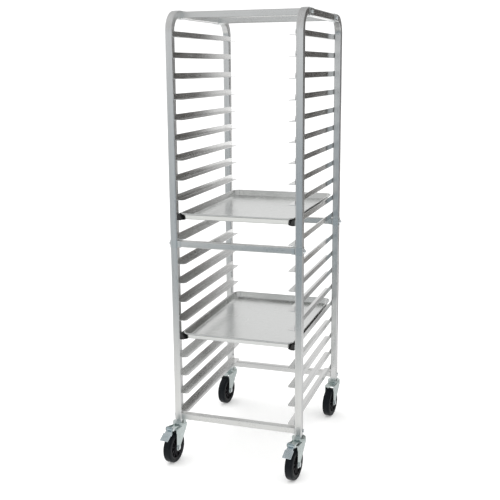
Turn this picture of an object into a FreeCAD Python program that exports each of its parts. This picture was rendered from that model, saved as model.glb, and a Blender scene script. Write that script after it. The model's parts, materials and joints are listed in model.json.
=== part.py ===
import FreeCAD, Part
import math
import os

# A knock-down sheet pan rack: two bent-tube side frames joined by six crossbars, twenty pairs
# of angle runners, two full-size sheet pans and four swivel casters, the front two with brakes.
# Millimetres. X is across the rack, -Y is the loading side (front), Z is up.
# The origin is on the floor, under the middle of the frame.

V = FreeCAD.Vector
TINY = 1e-6
OVERRUN = 1.0                 # how far a cutter or a fused piece runs past a face

# ---- Sheet pans: the rack is sized around them ----
PAN_WIDTH = 457.0
PAN_LENGTH = 660.0
PAN_HEIGHT = 25.4
PAN_SHEET = 1.2
PAN_WALL_SLOPE = 9.2          # how far a pan wall leans out from floor to rim
PAN_CORNER = 30.0             # plan radius at the rim
PAN_FLOOR_FILLET = 5.0
BEAD_RADIUS = 2.75            # rolled rim
BEAD_WIRE_RADIUS = 1.5        # wire inside the rolled rim
WIRE_CLEARANCE = 0.05
PAN_TIERS = (10, 16)          # tiers that hold a pan, counted from the top

# ---- Runners ----
TIER_PITCH = 76.2
TIERS_ABOVE_JOINT = 11
TIERS_BELOW_JOINT = 9
JOINT_PITCH = 99.5            # pitch across the mid joint
RUNNER_SHEET = 1.5
RUNNER_HEIGHT = 22.0
LEDGE_WIDTH = 30.0
RUNNER_BEND = 2.5             # outer radius of the fold
LEDGE_END_RADIUS = 12.0
FLANGE_END_RADIUS = 6.0
RUNNER_FRONT_SETBACK = 2.0
RUNNER_REAR_SETBACK = 8.0
PAN_SIDE_GAP = 6.5            # pan rim to runner flange

# ---- Tubes ----
UPRIGHT_SIDE = 28.0
UPRIGHT_WALL = 1.8
UPRIGHT_CORNER = 4.0
CROSSBAR_SIDE = 25.0
CROSSBAR_WALL = 1.6
CROSSBAR_CORNER = 3.0
BEND_RADIUS = 66.0            # centre line of the top corners
TUBE_FIT = 0.15               # gap all round between a tube and what slides into it

# ---- Joints of the frame ----
TOP_BOLT_SETBACK = 121.0      # top crossbar centre, in from the frame's face
TOP_SLEEVE_LENGTH = 60.0
TOP_BUTT_OFFSET = 14.0        # tube ends meet this far outside the bolt
MID_SLEEVE_HEIGHT = 30.0
MID_SLEEVE_GAP = 4.2          # under the lowest runner of the upper half
MID_BUTT_OFFSET = 9.0         # tube ends meet this far above the bolt
SLEEVE_WALL = 1.5
SLEEVE_FIT = 0.1
SPIGOT_LENGTH = 120.0
SPIGOT_WALL = 2.0
SPIGOT_CORNER = 3.2
SOCKET_LENGTH = 12.0
SOCKET_WALL = 1.6
END_PLUG_LENGTH = 22.0
TOP_HEADROOM = 77.3           # top runner's upper edge to the top of the frame
BOTTOM_BAR_RISE = 15.0        # upright's lower end to the bottom crossbar's centre
BOTTOM_TIER_GAP = 10.1        # bottom crossbar to the lowest runner

# ---- Fasteners ----
BOLT_RADIUS = 4.0
BOLT_HOLE_CLEARANCE = 0.3
THREAD_CLEARANCE = 0.05
BOLT_ENGAGEMENT = 16.0
HEX_FLATS = 13.0
HEX_HEIGHT = 5.3
DOME_RADIUS = 6.5
CUP_BASE_RADIUS = 11.0
CUP_TIP_RADIUS = 6.8
CUP_HEIGHT = 5.0
MID_HEAD_RADIUS = 5.2
MID_HEAD_TIP_RADIUS = 3.6
MID_HEAD_HEIGHT = 3.6

# ---- Pan guides: rubber wedges at the front of the runners that hold a pan ----
GUIDE_LENGTH = 46.0
GUIDE_PAN_CLEARANCE = 1.0
GUIDE_TOP_DROP = 1.0          # below the underside of the pan's rim
GUIDE_LIP = 1.6               # lip over the front edge of the ledge
GUIDE_LIP_DROP = 1.0

# ---- Casters, each in its own frame: swivel axis at x = y = 0, wheel trailing towards -Y ----
WHEEL_DIAMETER = 125.0
WHEEL_WIDTH = 32.0
TYRE_THICKNESS = 15.0
TYRE_SHOULDER = 7.0
CASTER_LEAD = 52.0            # swivel axis to wheel axle
CASTER_TURN = -6.5            # degrees that every caster is turned about its swivel axis
CORE_INSET = 1.0              # core rim to tyre side
RIM_THICKNESS = 5.0
HUB_RADIUS = 17.0
WEB_THICKNESS = 8.0
RIB_COUNT = 10
RIB_THICKNESS = 3.0
RIB_INSET = 2.0
BUSH_RADIUS = 8.0
AXLE_RADIUS = 5.0
RUNNING_CLEARANCE = 0.06
WHEEL_SIDE_GAP = 2.5          # wheel to fork leg
HUB_SIDE_GAP = 0.5
FORK_SHEET = 3.0
FORK_FOOT_RADIUS = 13.0
FORK_FRONT_REACH = 61.0       # front edge of the crown, ahead of the swivel axis
FORK_REAR_REACH = 22.0
FORK_SKIRT = 12.0             # how far the legs keep the crown's full length
CROWN_CLEARANCE = 13.5        # wheel to crown
CROWN_SHEET = 3.5
CROWN_EDGE_RADIUS = 2.5
RACE_RADIUS = 27.0
RACE_THICKNESS = 4.5
RACE_EDGE_RADIUS = 1.5
RACE_GAP = 1.0
BALL_RADIUS = 2.2
BALL_CIRCLE = 19.5
BALL_COUNT = 14
BALL_CLEARANCE = 0.3
KINGPIN_RADIUS = 5.0
KINGPIN_NUT_FLATS = 16.0
KINGPIN_NUT_HEIGHT = 7.0
NUT_GAP = 0.3
STEM_RADIUS = 6.0
STEM_LENGTH = 21.0
ADAPTER_COLLAR = 12.0
ADAPTER_PLUG_HEIGHT = 38.0
AXLE_HEAD_FLATS = 17.0
AXLE_HEAD_HEIGHT = 5.5
AXLE_TAIL = 1.0               # bolt end past its nut

# ---- Brakes on the front casters ----
BRAKE_PIN_RADIUS = 3.0
BRAKE_PIN_HEAD_RADIUS = 5.0
BRAKE_PIN_HEAD_HEIGHT = 2.0
BRAKE_PIN_FORWARD = 80.0      # ahead of the swivel axis
BRAKE_PIN_RISE = 7.0          # above the crown
BRAKE_EAR_SHEET = 2.5
BRAKE_EAR_INSIDE = 13.0
BRAKE_EAR_RADIUS = 8.0
BRAKE_EAR_FLAT = 2.0          # flat top of an ear behind the pin
BRAKE_BASE_SHEET = 2.0
BRAKE_RACE_GAP = 2.0          # bracket to lower race
BRAKE_PEDAL_SHEET = 3.0
BRAKE_HUB_RADIUS = 6.5
BRAKE_HUB_GAP = 0.5
PEDAL_HALF_WIDTH = 17.5
PEDAL_REACH = 58.0            # pivot to the pedal's front edge
PEDAL_DROP_ANGLE = 31.0
PEDAL_PAD_LENGTH = 36.0
RELEASE_LENGTH = 17.0
RELEASE_ANGLE = 48.0
CAM_WIDTH = 18.0
CAM_THICKNESS = 9.0
BRAKE_TRAVEL = 16.0           # degrees from free to locked
CAM_TYRE_GAP = 0.4            # left between cam and tyre when locked

# ---- Worked-out sizes ----
FRAME_WIDTH = PAN_WIDTH + 2 * (PAN_SIDE_GAP + RUNNER_SHEET + UPRIGHT_SIDE)
FRAME_DEPTH = PAN_LENGTH
POST_X = (FRAME_WIDTH - UPRIGHT_SIDE) / 2
POST_Y = (FRAME_DEPTH - UPRIGHT_SIDE) / 2
INNER_X = FRAME_WIDTH / 2 - UPRIGHT_SIDE
SLEEVE_SIDE = UPRIGHT_SIDE + 2 * (SLEEVE_FIT + SLEEVE_WALL)
AXLE_Z = WHEEL_DIAMETER / 2
CROWN_BOTTOM = WHEEL_DIAMETER + CROWN_CLEARANCE
CROWN_TOP = CROWN_BOTTOM + CROWN_SHEET
LOWER_RACE_TOP = CROWN_TOP + RACE_THICKNESS
UPPER_RACE_BOTTOM = LOWER_RACE_TOP + RACE_GAP
CASTER_TOP = UPPER_RACE_BOTTOM + RACE_THICKNESS
BALL_Z = LOWER_RACE_TOP + RACE_GAP / 2
POST_BOTTOM = CASTER_TOP + ADAPTER_COLLAR
BOTTOM_BAR_Z = POST_BOTTOM + BOTTOM_BAR_RISE
LOWEST_LEDGE_Z = BOTTOM_BAR_Z + CROSSBAR_SIDE / 2 + BOTTOM_TIER_GAP
JOINT_LEDGE_Z = LOWEST_LEDGE_Z + (TIERS_BELOW_JOINT - 1) * TIER_PITCH + JOINT_PITCH
MID_BAR_Z = JOINT_LEDGE_Z - MID_SLEEVE_GAP - MID_SLEEVE_HEIGHT / 2
TOP_LEDGE_Z = JOINT_LEDGE_Z + (TIERS_ABOVE_JOINT - 1) * TIER_PITCH
FRAME_TOP = TOP_LEDGE_Z + RUNNER_HEIGHT + TOP_HEADROOM
TOP_BAR_Z = FRAME_TOP - UPRIGHT_SIDE / 2
TOP_BAR_Y = FRAME_DEPTH / 2 - TOP_BOLT_SETBACK
TOP_BUTT_Y = TOP_BAR_Y + TOP_BUTT_OFFSET
MID_BUTT_Z = MID_BAR_Z + MID_BUTT_OFFSET
LEG_INSIDE = WHEEL_WIDTH / 2 + WHEEL_SIDE_GAP
LEG_OUTSIDE = LEG_INSIDE + FORK_SHEET
BRAKE_PIN_Y = -BRAKE_PIN_FORWARD
BRAKE_PIN_Z = CROWN_TOP + BRAKE_PIN_RISE
EAR_OUTSIDE = BRAKE_EAR_INSIDE + BRAKE_EAR_SHEET
BRACKET_BACK = -RACE_RADIUS - BRAKE_RACE_GAP

SIDES = (("left", -1), ("right", 1))
ENDS = (("front", -1), ("rear", 1))


# ---- Helpers ----
def save(name, *solids):
    """Write one node: a single solid, or a group of separate ones."""
    shape = solids[0] if len(solids) == 1 else Part.makeCompound(list(solids))
    shape.exportStep("parts/" + name + ".step")


def block(x0, x1, y0, y1, z0, z1):
    return Part.makeBox(x1 - x0, y1 - y0, z1 - z0, V(x0, y0, z0))


def rod(radius, start, end):
    along = end - start
    return Part.makeCylinder(radius, along.Length, start, along)


def edges_at(shape, x=None, y=None, z=None):
    """The edges whose middle has the given coordinates."""
    wanted = (x, y, z)
    found = []
    for edge in shape.Edges:
        middle = edge.CenterOfMass
        if all(w is None or abs(m - w) < TINY for m, w in zip(middle, wanted)):
            found.append(edge)
    return found


def rounded_wire(width, depth, radius, z=0.0):
    """A rounded rectangle centred on the Z axis, as a closed wire of lines and arcs."""
    hx = width / 2
    hy = depth / 2
    c = radius * (1 - math.sqrt(0.5))
    edges = []
    for sx, sy in ((1, 1), (-1, 1), (-1, -1), (1, -1)):
        first = V(sx * hx, sy * (hy - radius), z)
        middle = V(sx * (hx - c), sy * (hy - c), z)
        last = V(sx * (hx - radius), sy * hy, z)
        if sx * sy < 0:
            first, last = last, first
        edges.append(Part.Arc(first, middle, last).toShape())
    lines = []
    for k, edge in enumerate(edges):
        following = edges[(k + 1) % 4]
        here = edge.Vertexes[-1].Point
        there = following.Vertexes[0].Point
        lines += [edge, Part.makeLine(here, there)]
    return Part.Wire(lines)


def tube_face(side, wall, corner):
    """Cross-section of a square tube, in the XY plane."""
    outer = Part.Face(rounded_wire(side, side, corner))
    inner = Part.Face(rounded_wire(side - 2 * wall, side - 2 * wall, corner - wall))
    return outer.cut(inner).Faces[0]


def bar_face(side, corner):
    return Part.Face(rounded_wire(side, side, corner))


def along_x(face, x0, x1, y, z):
    """Extrude an XY section along X, centred on the line y, z."""
    turned = face.copy()
    turned.rotate(V(0, 0, 0), V(0, 1, 0), 90)
    turned.translate(V(x0, y, z))
    return turned.extrude(V(x1 - x0, 0, 0))


def along_y(face, x, y0, y1, z):
    turned = face.copy()
    turned.rotate(V(0, 0, 0), V(1, 0, 0), 90)
    turned.translate(V(x, y0, z))
    return turned.extrude(V(0, y1 - y0, 0))


def along_z(face, x, y, z0, z1):
    raised = face.copy()
    raised.translate(V(x, y, z0))
    return raised.extrude(V(0, 0, z1 - z0))


def hex_prism(flats, start, end):
    """A hexagonal prism along X or Z from start to end."""
    along = end - start
    circle = flats / math.sqrt(3)
    corners = [V(circle * math.cos(a), circle * math.sin(a), 0)
               for a in (math.radians(60 * k) for k in range(6))]
    face = Part.Face(Part.makePolygon(corners + corners[:1]))
    face.Placement = FreeCAD.Placement(start, FreeCAD.Rotation(V(0, 0, 1), along))
    return face.extrude(along)


def polygon_yz(points, x0, x1):
    """A flat plate cut to a polygon in the YZ plane."""
    corners = [V(x0, y, z) for y, z in points]
    face = Part.Face(Part.makePolygon(corners + corners[:1]))
    return face.extrude(V(x1 - x0, 0, 0))


def bolt_hole(y, z):
    """A cutter for a bolt that crosses one side frame along X, on both sides of the rack."""
    reach = FRAME_WIDTH / 2 + SLEEVE_SIDE
    return rod(BOLT_RADIUS + BOLT_HOLE_CLEARANCE, V(-reach, y, z), V(reach, y, z))


# ---- Side frames ----
POST = tube_face(UPRIGHT_SIDE, UPRIGHT_WALL, UPRIGHT_CORNER)


def upper_upright(sx, sy):
    """A straight tube that bends inwards at the top and ends inside the top sleeve."""
    x = sx * POST_X
    y = sy * POST_Y
    bend_start = TOP_BAR_Z - BEND_RADIUS
    post = along_z(POST, x, y, MID_BUTT_Z, bend_start)
    section = POST.copy()
    section.translate(V(x, y, bend_start))
    bend = section.revolve(V(x, y - sy * BEND_RADIUS, bend_start), V(sy, 0, 0), 90)
    tail = along_y(POST, x, y - sy * BEND_RADIUS, sy * TOP_BUTT_Y, TOP_BAR_Z)
    return post.fuse([bend, tail]).removeSplitter().Solids[0]


def lower_upright(sx, sy):
    y = sy * POST_Y
    post = along_z(POST, sx * POST_X, y, POST_BOTTOM, MID_BUTT_Z)
    return post.cut([bolt_hole(y, MID_BAR_Z), bolt_hole(y, BOTTOM_BAR_Z)])


def top_rail(sx):
    rail = along_y(POST, sx * POST_X, -TOP_BUTT_Y, TOP_BUTT_Y, TOP_BAR_Z)
    return rail.cut([bolt_hole(-TOP_BAR_Y, TOP_BAR_Z), bolt_hole(TOP_BAR_Y, TOP_BAR_Z)])


def mid_sleeve(sx, sy):
    face = tube_face(SLEEVE_SIDE, SLEEVE_WALL, UPRIGHT_CORNER + SLEEVE_WALL)
    half = MID_SLEEVE_HEIGHT / 2
    sleeve = along_z(face, sx * POST_X, sy * POST_Y, MID_BAR_Z - half, MID_BAR_Z + half)
    return sleeve.cut(bolt_hole(sy * POST_Y, MID_BAR_Z))


def top_sleeve(sx, sy):
    face = tube_face(SLEEVE_SIDE, SLEEVE_WALL, UPRIGHT_CORNER + SLEEVE_WALL)
    half = TOP_SLEEVE_LENGTH / 2
    sleeve = along_y(face, sx * POST_X, sy * TOP_BAR_Y - half, sy * TOP_BAR_Y + half, TOP_BAR_Z)
    return sleeve.cut(bolt_hole(sy * TOP_BAR_Y, TOP_BAR_Z))


def mid_spigot(sx, sy):
    side = UPRIGHT_SIDE - 2 * (UPRIGHT_WALL + TUBE_FIT)
    face = tube_face(side, SPIGOT_WALL, SPIGOT_CORNER)
    half = SPIGOT_LENGTH / 2
    spigot = along_z(face, sx * POST_X, sy * POST_Y, MID_BUTT_Z - half, MID_BUTT_Z + half)
    return spigot.cut(bolt_hole(sy * POST_Y, MID_BAR_Z))


# ---- Crossbars: level name, inner end, front-to-back place, height ----
CROSSBARS = (
    ("top", POST_X - SLEEVE_SIDE / 2, TOP_BAR_Y, TOP_BAR_Z),
    ("mid", POST_X - SLEEVE_SIDE / 2, POST_Y, MID_BAR_Z),
    ("bottom", INNER_X, POST_Y, BOTTOM_BAR_Z),
)


def crossbar(end_x, y, z):
    face = tube_face(CROSSBAR_SIDE, CROSSBAR_WALL, CROSSBAR_CORNER)
    return along_x(face, -end_x, end_x, y, z)


def end_plug(sx, end_x, y, z):
    """A threaded block inside the end of a crossbar."""
    side = CROSSBAR_SIDE - 2 * (CROSSBAR_WALL + TUBE_FIT)
    x0, x1 = sorted((sx * end_x, sx * (end_x - END_PLUG_LENGTH)))
    plug = along_x(bar_face(side, CROSSBAR_CORNER - CROSSBAR_WALL), x0, x1, y, z)
    bore = rod(BOLT_RADIUS + THREAD_CLEARANCE, V(x0 - OVERRUN, y, z), V(x1 + OVERRUN, y, z))
    return plug.cut(bore)


def end_socket(sx, end_x, y, z):
    """A square cup that seats the mid crossbar's end against its sleeve."""
    bore = CROSSBAR_SIDE + 2 * SLEEVE_FIT
    face = tube_face(bore + 2 * SOCKET_WALL, SOCKET_WALL, CROSSBAR_CORNER + SOCKET_WALL)
    x0, x1 = sorted((sx * end_x, sx * (end_x - SOCKET_LENGTH)))
    return along_x(face, x0, x1, y, z)


def crossbar_bolt(level, sx, end_x, y, z):
    """A bolt from the outside of the side frame into the crossbar's plug."""
    sleeved = level != "bottom"
    face_x = POST_X + (SLEEVE_SIDE if sleeved else UPRIGHT_SIDE) / 2
    seat = face_x + (CUP_HEIGHT if level == "mid" else 0)
    tip = end_x - BOLT_ENGAGEMENT
    shank = rod(BOLT_RADIUS, V(sx * tip, y, z), V(sx * seat, y, z))
    base = V(sx * seat, y, z)
    out = V(sx, 0, 0)
    if level == "bottom":
        head = hex_prism(HEX_FLATS, base, base + out * HEX_HEIGHT)
    elif level == "mid":
        head = Part.makeCone(MID_HEAD_RADIUS, MID_HEAD_TIP_RADIUS, MID_HEAD_HEIGHT, base, out)
    else:
        ball = Part.makeSphere(DOME_RADIUS, base)
        head = ball.common(rod(2 * DOME_RADIUS, base, base + out * 2 * DOME_RADIUS))
    return shank.fuse(head).removeSplitter().Solids[0]


def cup_washer(sx, y, z):
    """A tapered cup between the mid sleeve and its bolt head."""
    base = V(sx * (POST_X + SLEEVE_SIDE / 2), y, z)
    cone = Part.makeCone(CUP_BASE_RADIUS, CUP_TIP_RADIUS, CUP_HEIGHT, base, V(sx, 0, 0))
    return cone.cut(bolt_hole(y, z))


# ---- Runners ----
def ledge_z(tier):
    """Underside of a tier's ledge, with tier 1 at the top."""
    if tier <= TIERS_ABOVE_JOINT:
        return TOP_LEDGE_Z - (tier - 1) * TIER_PITCH
    return LOWEST_LEDGE_Z + (TIERS_ABOVE_JOINT + TIERS_BELOW_JOINT - tier) * TIER_PITCH


def runner(sx, tier):
    """An angle whose flange stands on the uprights' inner faces and whose ledge points in."""
    y0 = -FRAME_DEPTH / 2 + RUNNER_FRONT_SETBACK
    y1 = FRAME_DEPTH / 2 - RUNNER_REAR_SETBACK
    outer = block(0, LEDGE_WIDTH, y0, y1, 0, RUNNER_HEIGHT)
    outer = outer.makeFillet(RUNNER_BEND, edges_at(outer, x=0, z=0))
    inner = block(RUNNER_SHEET, LEDGE_WIDTH + OVERRUN, y0 - OVERRUN, y1 + OVERRUN,
                  RUNNER_SHEET, RUNNER_HEIGHT + OVERRUN)
    crease = edges_at(inner, x=RUNNER_SHEET, z=RUNNER_SHEET)
    inner = inner.makeFillet(RUNNER_BEND - RUNNER_SHEET, crease)
    angle = outer.cut(inner)
    ledge_corners = edges_at(angle, x=LEDGE_WIDTH, z=RUNNER_SHEET / 2)
    angle = angle.makeFillet(LEDGE_END_RADIUS, ledge_corners)
    flange_corners = edges_at(angle, x=RUNNER_SHEET / 2, z=RUNNER_HEIGHT)
    angle = angle.makeFillet(FLANGE_END_RADIUS, flange_corners)
    if sx > 0:
        angle = angle.mirror(V(0, 0, 0), V(1, 0, 0))
    angle.translate(V(sx * INNER_X, 0, ledge_z(tier)))
    return angle


def pan_guide(sx, tier):
    """A rubber wedge under the pan's rim, with a lip that grips the front edge of the ledge."""
    floor = ledge_z(tier) + RUNNER_SHEET
    rim = floor + PAN_HEIGHT - 2 * BEAD_RADIUS - GUIDE_TOP_DROP
    rise = PAN_HEIGHT - BEAD_RADIUS
    lean = PAN_WALL_SLOPE / rise
    near = PAN_WIDTH / 2 - 2 * BEAD_RADIUS - PAN_WALL_SLOPE + PAN_SHEET + GUIDE_PAN_CLEARANCE
    wall = INNER_X - RUNNER_SHEET
    crease = RUNNER_BEND - RUNNER_SHEET
    front = -FRAME_DEPTH / 2 + RUNNER_FRONT_SETBACK
    section = [
        (near, floor),
        (wall - crease, floor),
        (wall, floor + crease),
        (wall, rim),
        (near + lean * (rim - floor), rim),
    ]
    corners = [V(sx * x, front, z) for x, z in section]
    wedge = Part.Face(Part.makePolygon(corners + corners[:1])).extrude(V(0, GUIDE_LENGTH, 0))
    inner = INNER_X - LEDGE_WIDTH + LEDGE_END_RADIUS
    low = floor - RUNNER_SHEET - GUIDE_LIP_DROP
    x0, x1 = sorted((sx * inner, sx * (INNER_X - RUNNER_BEND)))
    lip = block(x0, x1, front - GUIDE_LIP, front, low, floor)
    x0, x1 = sorted((sx * near, sx * wall))
    tie = block(x0, x1, front - GUIDE_LIP, front, floor - RUNNER_SHEET / 2, floor + RUNNER_SHEET)
    return wedge.fuse([lip, tie]).removeSplitter().Solids[0]


# ---- Sheet pans ----
def pan_shell(inset, floor_z, fillet):
    """The pan's outer form, or its inside when inset by the sheet."""
    width = PAN_WIDTH - 2 * (2 * BEAD_RADIUS - PAN_SHEET + inset)
    length = PAN_LENGTH - 2 * (2 * BEAD_RADIUS - PAN_SHEET + inset)
    corner = PAN_CORNER - 2 * BEAD_RADIUS + PAN_SHEET - inset
    top = PAN_HEIGHT - BEAD_RADIUS
    lower = rounded_wire(width - 2 * PAN_WALL_SLOPE, length - 2 * PAN_WALL_SLOPE,
                         corner - PAN_WALL_SLOPE, floor_z)
    upper = rounded_wire(width, length, corner, top)
    form = Part.makeLoft([lower, upper], True, True)
    bottom = [e for e in form.Edges if abs(e.BoundBox.ZMax - floor_z) < TINY]
    return form.makeFillet(fillet, bottom)


def rim_ring(radius):
    """A round bead that follows the pan's rim."""
    path = rounded_wire(PAN_WIDTH - 2 * BEAD_RADIUS, PAN_LENGTH - 2 * BEAD_RADIUS,
                        PAN_CORNER - BEAD_RADIUS, PAN_HEIGHT - BEAD_RADIUS)
    first = path.Edges[0]
    start = first.Vertexes[0].Point
    tangent = first.tangentAt(first.FirstParameter)
    sweep = Part.BRepOffsetAPI.MakePipeShell(path)
    sweep.setFrenetMode(True)
    sweep.add(Part.Wire(Part.makeCircle(radius, start, tangent)), False, False)
    sweep.build()
    sweep.makeSolid()
    return sweep.shape()


def sheet_pan():
    tray = pan_shell(0.0, 0.0, PAN_FLOOR_FILLET).cut(
        pan_shell(PAN_SHEET, PAN_SHEET, PAN_FLOOR_FILLET - PAN_SHEET))
    bead = rim_ring(BEAD_RADIUS).cut(rim_ring(BEAD_WIRE_RADIUS + WIRE_CLEARANCE))
    return tray.fuse(bead).removeSplitter().Solids[0]


def pan_z(tier):
    return ledge_z(tier) + RUNNER_SHEET


# ---- Casters, in their own frame ----
def wheel_ring(inner, outer, half_width, shoulder):
    """A ring about the axle, with rounded outer shoulders."""
    centre = V(-half_width, -CASTER_LEAD, AXLE_Z)
    ring = Part.makeCylinder(outer, 2 * half_width, centre, V(1, 0, 0))
    if shoulder:
        edges = [e for e in ring.Edges if e.Curve.TypeId == "Part::GeomCircle"]
        ring = ring.makeFillet(shoulder, edges)
    bore = Part.makeCylinder(inner, 2 * half_width, centre, V(1, 0, 0))
    return ring.cut(bore)


def tyre():
    core_radius = WHEEL_DIAMETER / 2 - TYRE_THICKNESS
    return wheel_ring(core_radius, WHEEL_DIAMETER / 2, WHEEL_WIDTH / 2, TYRE_SHOULDER)


def wheel_core():
    """Moulded core: rim, web, hub and ribs, bored for the bush."""
    outer = WHEEL_DIAMETER / 2 - TYRE_THICKNESS
    half = WHEEL_WIDTH / 2 - CORE_INSET
    bore = BUSH_RADIUS + RUNNING_CLEARANCE
    rim = wheel_ring(outer - RIM_THICKNESS, outer, half, 0)
    web = wheel_ring(bore, outer - RIM_THICKNESS / 2, WEB_THICKNESS / 2, 0)
    hub = wheel_ring(bore, HUB_RADIUS, LEG_INSIDE - HUB_SIDE_GAP, 0)
    rib_half = half - RIB_INSET
    rib_y0 = -CASTER_LEAD - RIB_THICKNESS / 2
    rib_y1 = -CASTER_LEAD + RIB_THICKNESS / 2
    rib_z0 = AXLE_Z + HUB_RADIUS - OVERRUN
    rib_z1 = AXLE_Z + outer - RIM_THICKNESS / 2
    ribs = []
    for k in range(RIB_COUNT):
        rib = block(-rib_half, rib_half, rib_y0, rib_y1, rib_z0, rib_z1)
        rib.rotate(V(0, -CASTER_LEAD, AXLE_Z), V(1, 0, 0), 360 * k / RIB_COUNT)
        ribs.append(rib)
    return rim.fuse([web, hub] + ribs).removeSplitter().Solids[0]


def axle_set():
    """Axle bolt with its head, the nut, and the bush that the wheel turns on."""
    def at(x):
        return V(x, -CASTER_LEAD, AXLE_Z)

    tip = at(LEG_OUTSIDE + AXLE_HEAD_HEIGHT + AXLE_TAIL)
    shank = rod(AXLE_RADIUS, at(-LEG_OUTSIDE), tip)
    head = hex_prism(AXLE_HEAD_FLATS, at(-LEG_OUTSIDE - AXLE_HEAD_HEIGHT), at(-LEG_OUTSIDE))
    bolt = shank.fuse(head).removeSplitter().Solids[0]
    bored = rod(AXLE_RADIUS + THREAD_CLEARANCE, at(-LEG_OUTSIDE), tip)
    nut = hex_prism(AXLE_HEAD_FLATS, at(LEG_OUTSIDE), at(LEG_OUTSIDE + AXLE_HEAD_HEIGHT)).cut(bored)
    bush = rod(BUSH_RADIUS, at(-LEG_INSIDE), at(LEG_INSIDE)).cut(bored)
    return [bolt, nut, bush]


def fork_leg_outline(x0, x1):
    """A leg: full length under the crown, tapering to a round foot at the axle."""
    y = -CASTER_LEAD
    r = FORK_FOOT_RADIUS
    corner_y = FORK_REAR_REACH
    corner_z = CROWN_TOP - FORK_SKIRT
    gap = math.hypot(corner_y - y, corner_z - AXLE_Z)
    turn = math.atan2(corner_z - AXLE_Z, corner_y - y) - math.acos(r / gap)
    lowest = (turn - math.pi) / 2
    front_foot = V(x0, y - r, AXLE_Z)
    under = V(x0, y + r * math.cos(lowest), AXLE_Z + r * math.sin(lowest))
    rear_foot = V(x0, y + r * math.cos(turn), AXLE_Z + r * math.sin(turn))
    rear_low = V(x0, corner_y, corner_z)
    rear_top = V(x0, corner_y, CROWN_TOP)
    front_top = V(x0, -FORK_FRONT_REACH, CROWN_TOP)
    edges = [
        Part.makeLine(front_top, front_foot),
        Part.Arc(front_foot, under, rear_foot).toShape(),
        Part.makeLine(rear_foot, rear_low),
        Part.makeLine(rear_low, rear_top),
        Part.makeLine(rear_top, front_top),
    ]
    return Part.Face(Part.Wire(edges)).extrude(V(x1 - x0, 0, 0))


def race_groove(z):
    """The ring that the swivel balls run in, as a cutter."""
    return Part.makeTorus(BALL_CIRCLE, BALL_RADIUS + BALL_CLEARANCE, V(0, 0, z), V(0, 0, 1))


def fork():
    """Pressed fork: crown with the lower race, and two legs."""
    crown = block(-LEG_OUTSIDE, LEG_OUTSIDE, -FORK_FRONT_REACH, FORK_REAR_REACH,
                  CROWN_BOTTOM, CROWN_TOP)
    legs = [fork_leg_outline(x0, x0 + FORK_SHEET) for x0 in (-LEG_OUTSIDE, LEG_INSIDE)]
    body = crown.fuse(legs).removeSplitter()
    shoulders = [e for x in (-LEG_OUTSIDE, LEG_OUTSIDE) for e in edges_at(body, x=x, z=CROWN_TOP)]
    body = body.makeFillet(CROWN_EDGE_RADIUS, shoulders)
    race = rod(RACE_RADIUS, V(0, 0, CROWN_TOP - OVERRUN), V(0, 0, LOWER_RACE_TOP))
    body = body.fuse(race).removeSplitter()
    pin_hole = rod(KINGPIN_RADIUS + RUNNING_CLEARANCE,
                   V(0, 0, CROWN_BOTTOM - OVERRUN), V(0, 0, CASTER_TOP))
    reach = LEG_OUTSIDE + OVERRUN
    axle_hole = rod(AXLE_RADIUS + THREAD_CLEARANCE,
                    V(-reach, -CASTER_LEAD, AXLE_Z), V(reach, -CASTER_LEAD, AXLE_Z))
    return body.cut([pin_hole, axle_hole, race_groove(BALL_Z)]).Solids[0]


def caster_stem():
    """Stem, upper race and kingpin with its nut: the part of a caster fixed to the frame."""
    stem = rod(STEM_RADIUS, V(0, 0, CASTER_TOP - OVERRUN), V(0, 0, CASTER_TOP + STEM_LENGTH))
    race = rod(RACE_RADIUS, V(0, 0, UPPER_RACE_BOTTOM), V(0, 0, CASTER_TOP))
    race = race.makeFillet(RACE_EDGE_RADIUS, edges_at(race, z=CASTER_TOP))
    nut_top = CROWN_BOTTOM - NUT_GAP
    nut_bottom = nut_top - KINGPIN_NUT_HEIGHT
    pin = rod(KINGPIN_RADIUS, V(0, 0, nut_bottom - OVERRUN), V(0, 0, UPPER_RACE_BOTTOM + OVERRUN))
    nut = hex_prism(KINGPIN_NUT_FLATS, V(0, 0, nut_bottom), V(0, 0, nut_top))
    return race.cut(race_groove(BALL_Z)).fuse([stem, pin, nut]).removeSplitter().Solids[0]


def swivel_balls():
    balls = []
    for k in range(BALL_COUNT):
        a = 2 * math.pi * k / BALL_COUNT
        centre = V(BALL_CIRCLE * math.cos(a), BALL_CIRCLE * math.sin(a), BALL_Z)
        balls.append(Part.makeSphere(BALL_RADIUS, centre))
    return balls


def caster_adapter():
    """Collar under the upright with a plug inside it, bored for the stem and the bottom bolt."""
    plug_side = UPRIGHT_SIDE - 2 * (UPRIGHT_WALL + TUBE_FIT)
    plug = along_z(bar_face(plug_side, UPRIGHT_CORNER - UPRIGHT_WALL), 0, 0,
                   POST_BOTTOM - OVERRUN, POST_BOTTOM + ADAPTER_PLUG_HEIGHT)
    collar = along_z(bar_face(UPRIGHT_SIDE, UPRIGHT_CORNER), 0, 0, CASTER_TOP, POST_BOTTOM)
    stem_bore = rod(STEM_RADIUS + THREAD_CLEARANCE,
                    V(0, 0, CASTER_TOP - OVERRUN), V(0, 0, CASTER_TOP + STEM_LENGTH + NUT_GAP))
    cross = rod(BOLT_RADIUS + BOLT_HOLE_CLEARANCE,
                V(-UPRIGHT_SIDE, 0, BOTTOM_BAR_Z), V(UPRIGHT_SIDE, 0, BOTTOM_BAR_Z))
    return collar.fuse(plug).cut([stem_bore, cross]).Solids[0]


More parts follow.
